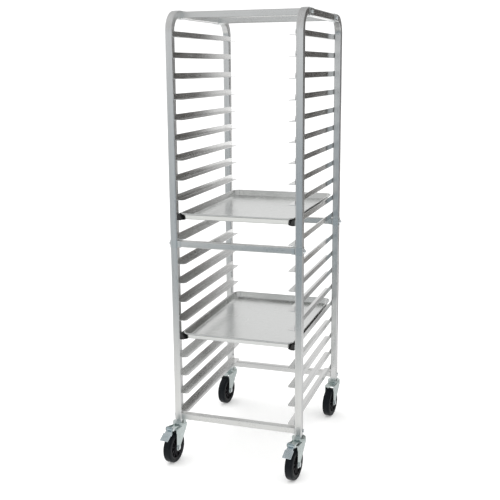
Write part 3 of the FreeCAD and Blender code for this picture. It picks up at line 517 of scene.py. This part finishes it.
def grip_tree():
    """Rounded bars across a pedal, one behind the other along local Y."""
    tree, given = node_tree("Pedal grips", ("Bar count", "Int"), ("Bar step", "Float"),
                            ("Bar length", "Float"), ("Bar radius", "Float"),
                            ("Material", "Material"))
    offset = add(tree, "ShaderNodeCombineXYZ", {"Y": given["Bar step"]})
    places = add(tree, "GeometryNodeMeshLine",
                 {"Count": given["Bar count"], "Offset": offset.outputs["Vector"]}).outputs["Mesh"]
    line = centred_line(tree, given["Bar length"])
    path = add(tree, "GeometryNodeResampleCurve", {"Curve": line, "Count": 13}).outputs["Curve"]
    taper = maths(tree, "SQRT", end_taper(tree, power=10.0, depth=0.95))
    bar = add(tree, "GeometryNodeCurveToMesh",
              {"Curve": path, "Profile Curve": circle(tree, 10, given["Bar radius"]),
               "Scale": taper, "Fill Caps": True}).outputs["Mesh"]
    bars = add(tree, "GeometryNodeInstanceOnPoints", {"Points": places, "Instance": bar})
    end_tree(tree, bars.outputs["Instances"], given["Material"])
    return tree


def seal_tree():
    """A thin ring lying flat at every vertex of the base mesh."""
    tree, given = node_tree("Dust seals", ("Ring radius", "Float"), ("Lip radius", "Float"),
                            ("Material", "Material"))
    ring = add(tree, "GeometryNodeCurveToMesh",
               {"Curve": circle(tree, 72, given["Ring radius"]),
                "Profile Curve": circle(tree, 8, given["Lip radius"])}).outputs["Mesh"]
    rings = add(tree, "GeometryNodeInstanceOnPoints", {"Points": given["Geometry"], "Instance": ring})
    end_tree(tree, rings.outputs["Instances"], given["Material"])
    return tree


def rim_seam_tree():
    """Two rounded rectangles, inside and outside the wall that a pan's rolled rim closes on, as thin tubes that
    carry painted shade.
    """
    tree, given = node_tree("Rim seams", ("Width", "Float"), ("Length", "Float"), ("Corner", "Float"),
                            ("Outer inset", "Float"), ("Inner inset", "Float"),
                            ("Seam radius", "Float"), ("Material", "Material"))
    profile = circle(tree, 8, given["Seam radius"])
    both = add(tree, "GeometryNodeJoinGeometry")
    for inset in (given["Outer inset"], given["Inner inset"]):
        twice = maths(tree, "MULTIPLY", inset, 2.0)
        outline = add(tree, "GeometryNodeCurvePrimitiveQuadrilateral",
                      {"Width": maths(tree, "SUBTRACT", given["Width"], twice),
                       "Height": maths(tree, "SUBTRACT", given["Length"], twice)})
        path = add(tree, "GeometryNodeFilletCurve",
                   {"Curve": outline.outputs["Curve"], "Count": 10,
                    "Radius": maths(tree, "SUBTRACT", given["Corner"], inset)}, mode="POLY")
        ring = add(tree, "GeometryNodeCurveToMesh",
                   {"Curve": path.outputs["Curve"], "Profile Curve": profile})
        tree.links.new(ring.outputs["Mesh"], both.inputs["Geometry"])
    end_tree(tree, both.outputs["Geometry"], given["Material"])
    return tree


# ---- Operators: finishes ----
class RACK_OT_finish_tubes(bpy.types.Operator):
    """Satin aluminium on the uprights, top rails and crossbars"""
    bl_idname = "rack.finish_tubes"
    bl_label = "Finish Tubes"

    def execute(self, context):
        looks = context.scene.rack_finishes
        upright = brushed_aluminium("upright_aluminium", looks.tube_colour, looks.tube_roughness, "Z")
        rail = brushed_aluminium("rail_aluminium", looks.tube_colour, looks.runner_roughness, "Y",
                                 blur=0.75)
        bar = brushed_aluminium("crossbar_aluminium", looks.bar_colour, looks.tube_roughness, "X")
        for corner in CASTERS:
            dress(upright, "upright_upper_" + corner, "upright_lower_" + corner)
        dress(rail, "top_rail_left", "top_rail_right")
        for level in ("top", "mid", "bottom"):
            dress(bar, f"crossbar_{level}_front", f"crossbar_{level}_rear")
        return {"FINISHED"}


class RACK_OT_finish_runners(bpy.types.Operator):
    """Mill finish sheet on the runners, and near-black rubber on the pan guides, which is partly painted shade at
    the pans' front corners
    """
    bl_idname = "rack.finish_runners"
    bl_label = "Finish Runners"

    def execute(self, context):
        looks = context.scene.rack_finishes
        sheet = brushed_aluminium("runner_aluminium", looks.runner_colour, looks.runner_roughness,
                                  "Y", contrast=0.06, lines=820.0, blur=0.85)
        dress(sheet, *[f"runners_{side}_{half}" for side in SIDES for half in ("upper", "lower")])
        # The guides' near-black rubber is also painted shade at the pans' front corners.
        guide = worn_rubber("guide_rubber", looks.guide_and_shade_colour, looks.dust_colour,
                            roughness=0.55, dusty=0.12)
        dress(guide, "pan_guides")
        return {"FINISHED"}


class RACK_OT_finish_fittings(bpy.types.Operator):
    """Sleeves, sockets, adapters, spigots, plugs, bolts and cup washers"""
    bl_idname = "rack.finish_fittings"
    bl_label = "Finish Fittings"

    def execute(self, context):
        looks = context.scene.rack_finishes
        cast = looks.fitting_colour
        top = brushed_aluminium("top_sleeve_aluminium", cast, roughness=0.28, axis="Y")
        mid = brushed_aluminium("mid_sleeve_aluminium", cast, roughness=0.28, axis="Z")
        socket = brushed_aluminium("socket_aluminium", cast, roughness=0.30, axis="X")
        dress(top, "top_joint_sleeves")
        dress(mid, "mid_joint_sleeves", "caster_adapters")
        dress(socket, "mid_bar_sockets")
        inner = plated_steel("inner_steel", looks.inner_colour, roughness=0.36)
        dress(inner, "mid_joint_spigots", "crossbar_end_plugs", "pan_rim_wire_upper",
              "pan_rim_wire_lower")
        bolt = plated_steel("bolt_steel", looks.bolt_colour, roughness=0.20, grain=900.0)
        dress(bolt, "crossbar_bolts", "bolt_cup_washers")
        dress(bolt, *["caster_axle_" + corner for corner in CASTERS])
        dress(bolt, "brake_pin_left", "brake_pin_right")
        return {"FINISHED"}


class RACK_OT_finish_casters(bpy.types.Operator):
    """Zinc plate, rubber and moulded plastic on the casters and their brakes"""
    bl_idname = "rack.finish_casters"
    bl_label = "Finish Casters"

    def execute(self, context):
        looks = context.scene.rack_finishes
        zinc = plated_steel("zinc_plate", looks.zinc_colour, roughness=0.21, warm=0.95, cool=1.02)
        pedal = plated_steel("pedal_plate", looks.pedal_colour, roughness=0.20, warm=0.95, cool=1.01)
        ball = plated_steel("ball_steel", looks.ball_colour, roughness=0.12, grain=1500.0)
        tyre = worn_rubber("tyre_rubber", looks.tyre_colour, looks.dust_colour,
                           roughness=0.36, dusty=0.08)
        core = moulded_plastic("core_plastic", looks.core_colour, roughness=0.42)
        dress(ball, "swivel_balls")
        for corner in CASTERS:
            dress(zinc, "caster_fork_" + corner, "caster_stem_" + corner)
            dress(tyre, "caster_tyre_" + corner)
            dress(core, "caster_core_" + corner)
        for side in SIDES:
            dress(zinc, "brake_bracket_" + side)
            dress(pedal, "brake_pedal_" + side)
        return {"FINISHED"}


class RACK_OT_finish_pans(bpy.types.Operator):
    """Bright pressed aluminium on the two pans"""
    bl_idname = "rack.finish_pans"
    bl_label = "Finish Pans"

    def execute(self, context):
        looks = context.scene.rack_finishes
        dress(pressed_pan("pan_aluminium", looks.pan_colour, looks.pan_roughness),
              "sheet_pan_upper", "sheet_pan_lower")
        return {"FINISHED"}


# ---- Operators: detail ----
TIER_GAP = 0.02        # levels further apart than this are on different runners
TIER_SPAN = 0.04       # more than a runner's height and less than the step between tiers
LEVEL_SLACK = 0.0018   # looks this far under a runner's lowest level
WELD_SIDE_SINK = 0.45  # flange's outer face in to a bead's middle, in bead radii
WELD_TOP_SINK = 0.15   # flange's top edge down to a level bead's middle, in bead radii
WELD_FOOT = 0.0035     # runner's underside to the foot of an upright bead
WELD_INSET = 0.0075    # runner's end to the start of a level bead
UPRIGHT_SHARE = 0.7    # length of an upright bead, of a level one


def runner_boxes(side):
    """Lowest and highest corners of each runner of a side, found from its group's vertices."""
    boxes = []
    for half in ("upper", "lower"):
        heights = [v.co.z for v in frame["nodes"][f"runners_{side}_{half}"].data.vertices]
        levels = sorted({round(z, 4) for z in heights})
        lowest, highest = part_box(f"runners_{side}_{half}")
        starts = [z for k, z in enumerate(levels) if k == 0 or z - levels[k - 1] > TIER_GAP]
        for start in starts:
            inside = [z for z in heights if start - LEVEL_SLACK < z < start + TIER_SPAN]
            boxes.append((Vector((lowest.x, lowest.y, min(inside))),
                          Vector((highest.x, highest.y, max(inside)))))
    return boxes


class RACK_OT_weld_beads(bpy.types.Operator):
    """Weld beads where every runner meets its two uprights"""
    bl_idname = "rack.weld_beads"
    bl_label = "Weld Beads"

    def execute(self, context):
        sizes = context.scene.rack_details
        reach = sizes.weld_length
        segments = []
        for side in SIDES:
            for low, high in runner_boxes(side):
                face = low.x if side == "left" else high.x
                inwards = 1.0 if side == "left" else -1.0
                x = face + inwards * sizes.weld_radius * WELD_SIDE_SINK
                z = high.z - sizes.weld_radius * WELD_TOP_SINK
                foot = low.z + WELD_FOOT
                for end in (low.y, high.y):
                    back = 1.0 if end < 0 else -1.0
                    segments.append(((x, end, foot), (x, end, foot + reach * UPRIGHT_SHARE)))
                    near = end + back * WELD_INSET
                    segments.append(((x, near, z), (x, near + back * reach, z)))
        weld = weld_metal("weld_bead", context.scene.rack_finishes.fitting_colour)
        values = {"Bead radius": sizes.weld_radius, "Ripple pitch": sizes.weld_ripple,
                  "Ripple depth": sizes.weld_depth, "Seed": sizes.weld_seed, "Material": weld}
        beads = grow("runner_welds", bead_tree(), values, line_mesh("weld_lines", segments))
        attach(beads, "frame")
        return {"FINISHED"}


class RACK_OT_rim_seams(bpy.types.Operator):
    """Painted shade: dark seams where the rolled rims of the two pans close on their walls"""
    bl_idname = "rack.rim_seams"
    bl_label = "Rim Seams"

    def execute(self, context):
        sizes = context.scene.rack_details
        tree = rim_seam_tree()
        # The seams' near-black colour is painted shade in the rim's crease.
        seam_shade = painted_seam_shade("rim_seam_shade", context.scene.rack_finishes.seam_shade_colour)
        for level in ("upper", "lower"):
            low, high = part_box("sheet_pan_" + level)
            centre = (low + high) / 2
            values = {"Width": high.x - low.x, "Length": high.y - low.y,
                      "Corner": sizes.pan_corner, "Outer inset": sizes.outer_seam,
                      "Inner inset": sizes.inner_seam, "Seam radius": sizes.seam_radius,
                      "Material": seam_shade}
            place = Matrix.Translation((centre.x, centre.y, high.z - sizes.seam_drop))
            seam = grow("pan_rim_seam_" + level, tree, values, line_mesh("rim_line", []), place)
            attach(seam, "pan_" + level)
        return {"FINISHED"}


# Sizes on a tyre's side as shares of its radius
TYRE_SHARES = {"Half width": 0.256, "Rib circle": 0.84, "Rib length": 0.045,
               "Inner ring": 0.795, "Outer ring": 0.875}


class RACK_OT_tyre_ribs(bpy.types.Operator):
    """Moulded ribs and rings on the sides of the four tyres"""
    bl_idname = "rack.tyre_ribs"
    bl_label = "Tyre Ribs"

    def execute(self, context):
        sizes = context.scene.rack_details
        tree = tyre_rib_tree()
        for corner in CASTERS:
            low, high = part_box("caster_tyre_" + corner)
            radius = (high.z - low.z) / 2
            values = {label: radius * share for label, share in TYRE_SHARES.items()}
            values.update({"Rib radius": sizes.rib_radius, "Rib count": sizes.rib_count,
                           "Material": frame["nodes"]["caster_tyre_" + corner].data.materials[0]})
            ribs = grow("tyre_ribs_" + corner, tree, values, line_mesh("axle_line", []),
                        joint_frame("wheel_spin_" + corner))
            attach(ribs, "wheel_" + corner)
        return {"FINISHED"}


class RACK_OT_pedal_grips(bpy.types.Operator):
    """Raised bars on the two brake pedals"""
    bl_idname = "rack.pedal_grips"
    bl_label = "Pedal Grips"

    drop: FloatProperty(name="Drop", description="Slope of the pedal below level",
                        default=math.radians(31.0), subtype="ANGLE")
    first: length_of("First", 0.029, "Pivot to the first bar")
    sheet: length_of("Sheet", 0.003, "Thickness of the pedal")

    def execute(self, context):
        sizes = context.scene.rack_details
        tree = grip_tree()
        for side in SIDES:
            values = {"Bar count": sizes.grip_count, "Bar step": -sizes.grip_step,
                      "Bar length": sizes.grip_length, "Bar radius": sizes.grip_radius,
                      "Material": frame["nodes"]["brake_pedal_" + side].data.materials[0]}
            slope = (joint_frame("brake_pedal_" + side) @ Matrix.Rotation(self.drop, 4, "X")
                     @ Matrix.Translation((0.0, -self.first, self.sheet / 2)))
            grips = grow("pedal_grips_" + side, tree, values, line_mesh("pedal_line", []), slope)
            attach(grips, "brake_" + side)
        return {"FINISHED"}


class RACK_OT_swivel_seals(bpy.types.Operator):
    """Dust seals in the gap between the races of the four swivels"""
    bl_idname = "rack.swivel_seals"
    bl_label = "Swivel Seals"

    def execute(self, context):
        sizes = context.scene.rack_details
        low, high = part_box("swivel_balls")
        level = (low.z + high.z) / 2
        centres = [(JOINTS["caster_swivel_" + corner]["pos_m"][0],
                    JOINTS["caster_swivel_" + corner]["pos_m"][1], level) for corner in CASTERS]
        points = bpy.data.meshes.new("swivel_points")
        points.from_pydata(centres, [], [])
        rubber = frame["nodes"]["pan_guides"].data.materials[0]
        values = {"Ring radius": sizes.seal_ring, "Lip radius": sizes.seal_radius,
                  "Material": rubber}
        seals = grow("swivel_seals", seal_tree(), values, points)
        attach(seals, "frame")
        return {"FINISHED"}


# ---- Operator: studio ----
# The room that reflections see: X of its sides, Y of its front and rear, Z of its ceiling
ROOM_LEFT = -3.4
ROOM_RIGHT = 4.2
ROOM_FRONT = -2.9
ROOM_REAR = 3.3
ROOM_TOP = 2.6
APRON = 2.3            # depth of the floor that belongs to the front card
OVER_FLOOR = 0.004     # height of the upper cards that lie on the floor
UNDER_CARD = 0.002     # height of the card under them
LEFT_WALL_REAR = 9.0
RIGHT_WALL_REAR = 3.1
RIGHT_WALL_TOP = 2.4
DARK_CARD_Y = 2.5
DARK_CARD_EDGE = ((0.80, 0.12), (0.71, 1.2), (0.67, 1.7), (0.66, 3.2))  # X and Z of its left edge
LOW_CARD_EDGE = ((0.45, 1.5), (0.60, 1.9), (0.85, ROOM_REAR))           # X and Y of its left edge
FLOOR_CARD_FRONT = -0.6
# Name, place, size and share of the key light's power
LAMPS = (
    ("soft_top", (-0.8, -1.2, 3.6), 2.6, 1.0),
    ("soft_left", (-3.2, -0.6, 1.9), 2.2, 0.6),
)
LAMP_AIM = Vector((0.0, 0.0, 0.9))
SENSOR_WIDTH = 36.0
# Position along the front card, from its edge near the rack to its top, and the colour there
RIGHT_TONES = (
    (0.02, (0.93, 0.93, 0.91)),
    (0.12, (0.93, 0.93, 0.91)),
    (0.22, (0.70, 0.71, 0.70)),
    (0.31, (0.42, 0.45, 0.46)),
    (0.43, (0.25, 0.31, 0.34)),
    (0.52, (0.25, 0.31, 0.35)),
    (0.63, (0.33, 0.38, 0.42)),
    (0.69, (0.47, 0.51, 0.54)),
    (0.75, (0.61, 0.64, 0.65)),
    (0.80, (0.75, 0.77, 0.78)),
    (0.83, (0.86, 0.87, 0.88)),
    (0.90, (0.60, 0.61, 0.62)),
)
LEFT_TONES = (
    (0.05, (0.93, 0.93, 0.91)),
    (0.20, (0.92, 0.92, 0.90)),
    (0.30, (0.66, 0.67, 0.67)),
    (0.42, (0.56, 0.58, 0.59)),
    (0.65, (0.57, 0.60, 0.61)),
    (0.75, (0.63, 0.65, 0.66)),
    (0.82, (0.71, 0.72, 0.73)),
    (0.92, (0.60, 0.61, 0.62)),
)


def strip(edge):
    """Pairs of corners from each point of a left edge to the room's right side."""
    return [corner for x, y, z in edge for corner in ((x, y, z), (ROOM_RIGHT, y, z))]


def wall(x, rear, top):
    """Corners of a side wall from the floor up, rear ones first."""
    return [(x, y, z) for z in (0.0, top) for y in (rear, ROOM_FRONT)]


def card(name, corners, build):
    """A studio card that only reflections see: a strip of quads between pairs of corners."""
    mesh = bpy.data.meshes.new(name)
    quads = [(k, k + 1, k + 3, k + 2) for k in range(0, len(corners) - 2, 2)]
    mesh.from_pydata(corners, [], quads)
    board = new_object(name, mesh)
    material = bpy.data.materials.new(name)
    material.use_nodes = True
    tree = material.node_tree
    tree.nodes.clear()
    glow = build(tree)
    out = add(tree, "ShaderNodeOutputMaterial")
    tree.links.new(glow, out.inputs["Surface"])
    mesh.materials.append(material)
    for ray in ("visible_camera", "visible_diffuse", "visible_shadow", "visible_transmission"):
        setattr(board, ray, False)


def plain_card(shade):
    """A card of one brightness with large faint clouds."""
    def build(tree):
        cloud = noise(tree, add(tree, "ShaderNodeTexCoord").outputs["Object"], 0.6)
        tone = shades(tree, cloud, (shade * 0.8,) * 3, (min(1.0, shade * 1.2),) * 3)
        return add(tree, "ShaderNodeEmission", {"Color": tone}).outputs["Emission"]
    return build


def rising_card(low, high, start, end, tint):
    """A card that goes from one brightness at the start height to another at the end height."""
    def build(tree):
        place = add(tree, "ShaderNodeTexCoord").outputs["Object"]
        height = add(tree, "ShaderNodeSeparateXYZ", {"Vector": place}).outputs["Z"]
        tone = shades(tree, height, scaled(tint, low), scaled(tint, high), start, end)
        return add(tree, "ShaderNodeEmission", {"Color": tone}).outputs["Emission"]
    return build


def toned(tree, value, tones):
    """A soft ramp through (position, colour) pairs."""
    ramp = add(tree, "ShaderNodeValToRGB", {"Fac": value})
    ramp.color_ramp.interpolation = "EASE"
    marks = ramp.color_ramp.elements
    marks.remove(marks[1])
    marks[0].position, marks[0].color = tones[0][0], (*tones[0][1], 1.0)
    for position, tone in tones[1:]:
        marks.new(position).color = (*tone, 1.0)
    return ramp.outputs["Color"]


def room_card(tree):
    """The room in front of the rack: bright floor, dim middle, pale top, and paler to the left."""
    place = add(tree, "ShaderNodeSeparateXYZ",
                {"Vector": add(tree, "ShaderNodeTexCoord").outputs["Object"]}).outputs
    climb = maths(tree, "SUBTRACT", place["Z"], maths(tree, "SUBTRACT", place["Y"], ROOM_FRONT))
    level = spread(tree, climb, 0.0, 1.0, -APRON, ROOM_TOP)
    mix = add(tree, "ShaderNodeMix",
              {"Factor": spread(tree, place["X"], 1.0, 0.0, -1.5, -0.4)}, data_type="RGBA")
    tree.links.new(toned(tree, level, RIGHT_TONES), mix.inputs[6])
    tree.links.new(toned(tree, level, LEFT_TONES), mix.inputs[7])
    return add(tree, "ShaderNodeEmission", {"Color": mix.outputs[2]}).outputs["Emission"]


class RACK_OT_studio(bpy.types.Operator):
    """Pale floor, white surroundings, soft light, reflection cards and the camera"""
    bl_idname = "rack.studio"
    bl_label = "Studio"

    def execute(self, context):
        scene = context.scene
        studio = scene.rack_studio
        self.surroundings(scene, studio)
        self.floor(studio)
        self.lights(studio)
        self.cards(studio.card_shade)
        self.camera(scene, studio)
        return {"FINISHED"}

    def cards(self, shade):
        """The room's sides, ceiling and floor, in shades that the metal mirrors."""
        card("card_right_rear", strip([(x, DARK_CARD_Y, z) for x, z in DARK_CARD_EDGE]),
             rising_card(shade * 3.6, shade, 0.15, 0.65, (1.0, 0.95, 0.88)))
        card("card_right", wall(ROOM_RIGHT, RIGHT_WALL_REAR, RIGHT_WALL_TOP),
             plain_card(shade * 3.0))
        card("card_right_low", strip([(x, y, OVER_FLOOR) for x, y in LOW_CARD_EDGE]),
             plain_card(shade * 4.4))
        card("card_floor", strip([(ROOM_LEFT, FLOOR_CARD_FRONT, UNDER_CARD),
                                  (ROOM_LEFT, ROOM_REAR, UNDER_CARD)]), plain_card(0.80))
        card("card_left", wall(ROOM_LEFT, LEFT_WALL_REAR, ROOM_TOP), plain_card(0.45))
        card("card_ceiling", strip([(ROOM_LEFT, ROOM_FRONT, ROOM_TOP),
                                    (ROOM_LEFT, ROOM_REAR, ROOM_TOP)]), plain_card(0.58))
        card("card_front", strip([(ROOM_LEFT, ROOM_FRONT + APRON, OVER_FLOOR),
                                  (ROOM_LEFT, ROOM_FRONT, OVER_FLOOR),
                                  (ROOM_LEFT, ROOM_FRONT, ROOM_TOP)]), room_card)

    def surroundings(self, scene, studio):
        world = bpy.data.worlds.new("white_room")
        world.use_nodes = True
        tree = world.node_tree
        backdrop = tree.nodes["Background"]
        backdrop.inputs["Color"].default_value = (1.0, 1.0, 1.0, 1.0)
        glossy = add(tree, "ShaderNodeLightPath").outputs["Is Glossy Ray"]
        tree.links.new(spread(tree, glossy, studio.sky, studio.sky * studio.gloss_sky, 0.0, 1.0),
                       backdrop.inputs["Strength"])
        scene.world = world
        scene.view_settings.view_transform = "Standard"

    def floor(self, studio):
        half = 30.0
        mesh = bpy.data.meshes.new("studio_floor")
        mesh.from_pydata([(-half, -half, 0.0), (half, -half, 0.0), (half, half, 0.0),
                          (-half, half, 0.0)], [], [(0, 1, 2, 3)])
        ground = new_object("studio_floor", mesh)
        material, tree, shader, place = new_finish("pale_floor")
        paper = noise(tree, place, 260.0, 3.0)
        tree.links.new(shades(tree, paper, scaled(studio.floor_colour, 0.99), studio.floor_colour),
                       shader.inputs["Base Color"])
        shader.inputs["Roughness"].default_value = 0.9
        shader.inputs["Specular IOR Level"].default_value = 0.1
        shader.inputs["Emission Color"].default_value = (1.0, 1.0, 1.0, 1.0)
        shader.inputs["Emission Strength"].default_value = studio.floor_glow
        mesh.materials.append(material)

    def lights(self, studio):
        for name, spot, size, share in LAMPS:
            lamp = bpy.data.lights.new(name, "AREA")
            lamp.shape = "SQUARE"
            lamp.size = size
            lamp.energy = studio.key_power * share
            holder = new_object(name, lamp)
            holder.visible_camera = False
            holder.location = spot
            aim = LAMP_AIM - Vector(spot)
            holder.rotation_euler = aim.to_track_quat("-Z", "Y").to_euler()

    def camera(self, scene, studio):
        lens = bpy.data.cameras.new("camera")
        lens.lens = studio.lens
        lens.sensor_width = SENSOR_WIDTH
        lens.shift_y = studio.shift
        viewer = new_object("camera", lens)
        viewer.matrix_world = (Matrix.Translation(studio.stand)
                               @ Matrix.Rotation(studio.heading, 4, "Z")
                               @ Matrix.Rotation(math.pi / 2 - studio.tilt, 4, "X")
                               @ Matrix.Rotation(studio.roll, 4, "Z"))
        scene.camera = viewer


# In the order in which they have to run
OPERATORS = (
    RACK_OT_finish_tubes,
    RACK_OT_finish_runners,
    RACK_OT_finish_fittings,
    RACK_OT_finish_casters,
    RACK_OT_finish_pans,
    RACK_OT_weld_beads,
    RACK_OT_rim_seams,
    RACK_OT_tyre_ribs,
    RACK_OT_pedal_grips,
    RACK_OT_swivel_seals,
    RACK_OT_studio,
)


class RACK_PT_build(bpy.types.Panel):
    """Builds the rack's finishes, detail and studio"""
    bl_idname = "RACK_PT_build"
    bl_label = "Sheet Pan Rack"
    bl_space_type = "VIEW_3D"
    bl_region_type = "UI"
    bl_category = "Pan Rack"

    def draw(self, context):
        column = self.layout.column(align=True)
        for operator in OPERATORS:
            column.operator(operator.bl_idname)
        for group in (context.scene.rack_finishes, context.scene.rack_details,
                      context.scene.rack_studio):
            box = self.layout.box()
            for key in group.__annotations__:
                box.prop(group, key)


CLASSES = (RackFinishes, RackDetails, RackStudio, *OPERATORS, RACK_PT_build)


def register():
    for item in CLASSES:
        bpy.utils.register_class(item)
    bpy.types.Scene.rack_finishes = PointerProperty(type=RackFinishes)
    bpy.types.Scene.rack_details = PointerProperty(type=RackDetails)
    bpy.types.Scene.rack_studio = PointerProperty(type=RackStudio)


def unregister():
    del bpy.types.Scene.rack_finishes
    del bpy.types.Scene.rack_details
    del bpy.types.Scene.rack_studio
    for item in reversed(CLASSES):
        bpy.utils.unregister_class(item)


def main():
    register()
    for operator in OPERATORS:
        getattr(bpy.ops.rack, operator.bl_idname.split(".")[1])()


if __name__ == "__main__":
    main()
